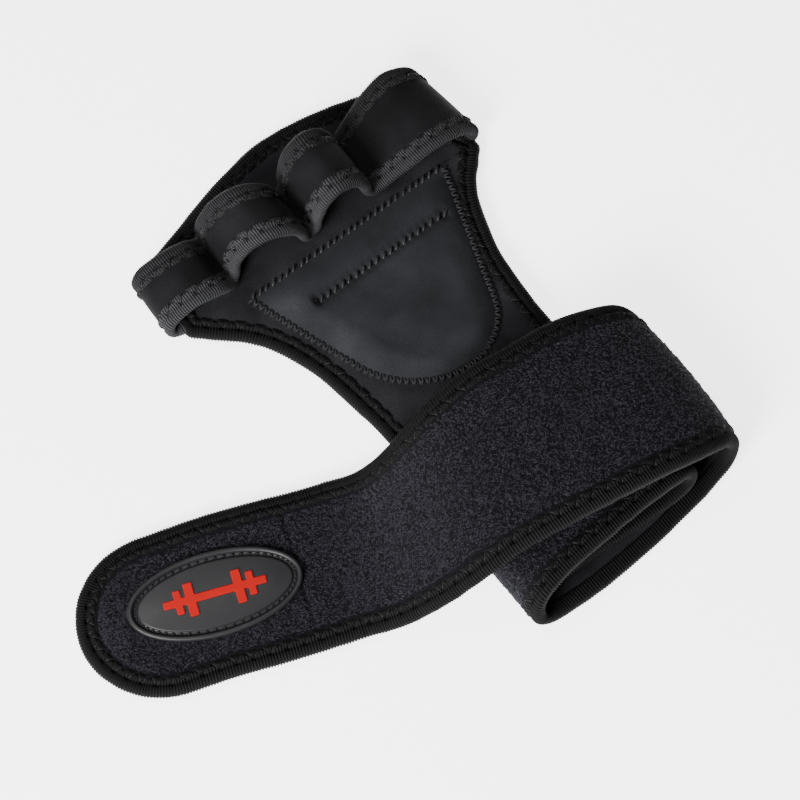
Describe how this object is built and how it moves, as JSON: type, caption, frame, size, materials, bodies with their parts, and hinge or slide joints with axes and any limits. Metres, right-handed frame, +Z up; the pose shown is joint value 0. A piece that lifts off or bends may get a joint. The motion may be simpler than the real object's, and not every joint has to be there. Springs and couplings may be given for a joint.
{
  "type": "gym palm grip",
  "caption": "Padded neoprene palm grip for one hand with finger loops, ribbed edge binding and a long hook-and-loop wrist strap rolled loosely around the wrist opening.",
  "frame": {"origin": "centre of the bounding box in plan, on the surface the grip rests on", "axes": "+X across the palm towards the strap's outer fold, +Y from the wrist to the fingers, +Z up out of the hand-facing side"},
  "size_m": [0.2102, 0.1919, 0.0361],
  "materials": {
    "jersey": "smooth black jersey on neoprene",
    "ribbed_tape": "black ribbed knit binding",
    "pad_jersey": "charcoal jersey",
    "foam": "closed-cell foam",
    "grip_rubber": "matte pebbled rubber",
    "loop_pile": "black curly loop pile on neoprene",
    "hook_tape": "black nylon hooks",
    "badge_rubber": "glossy black moulded rubber",
    "badge_red": "raised red moulding"
  },
  "bodies": {
    "wrap": {"strap_inner_turn": "loop_pile", "strap_inner_turn_tape_near": "ribbed_tape", "strap_inner_turn_tape_far": "ribbed_tape", "strap_outer_turn": "loop_pile", "strap_outer_turn_tape_near": "ribbed_tape", "strap_outer_turn_tape_far": "ribbed_tape"},
    "palm": {"palm_panel": "jersey", "palm_tape_left": "ribbed_tape", "palm_tape_right": "ribbed_tape", "palm_tape_fingers": "ribbed_tape", "palm_pad_cover": "pad_jersey", "palm_pad_foam": "foam", "grip_patch": "grip_rubber", "finger_strip": "jersey", "finger_strip_tape_wrist_side": "ribbed_tape", "finger_strip_tape_finger_side": "ribbed_tape"},
    "top_turn": {"strap_top": "loop_pile", "strap_top_tape_near": "ribbed_tape", "strap_top_tape_far": "ribbed_tape"},
    "tongue": {"strap_tongue": "loop_pile", "strap_tongue_tape": "ribbed_tape", "hook_patch": "hook_tape", "badge_plate": "badge_rubber", "badge_mark": "badge_red"}
  },
  "joints": [
    {"name": "strap_open", "type": "hinge", "parent": "wrap", "child": "top_turn", "pos_m": [0.1057, -0.0596, 0.0136], "axis": [0, 1, 0], "range_deg": [0, 110]},
    {"name": "tongue_peel", "type": "hinge", "parent": "top_turn", "child": "tongue", "pos_m": [-0.03085, -0.0317, 0.00595], "axis": [0.3553, 0.9347, 0], "range_deg": [0, 110]},
    {"name": "palm_fold", "type": "hinge", "parent": "wrap", "child": "palm", "pos_m": [0.0496, -0.0261, 0.01005], "axis": [1, 0, 0], "range_deg": [0, 40]}
  ]
}
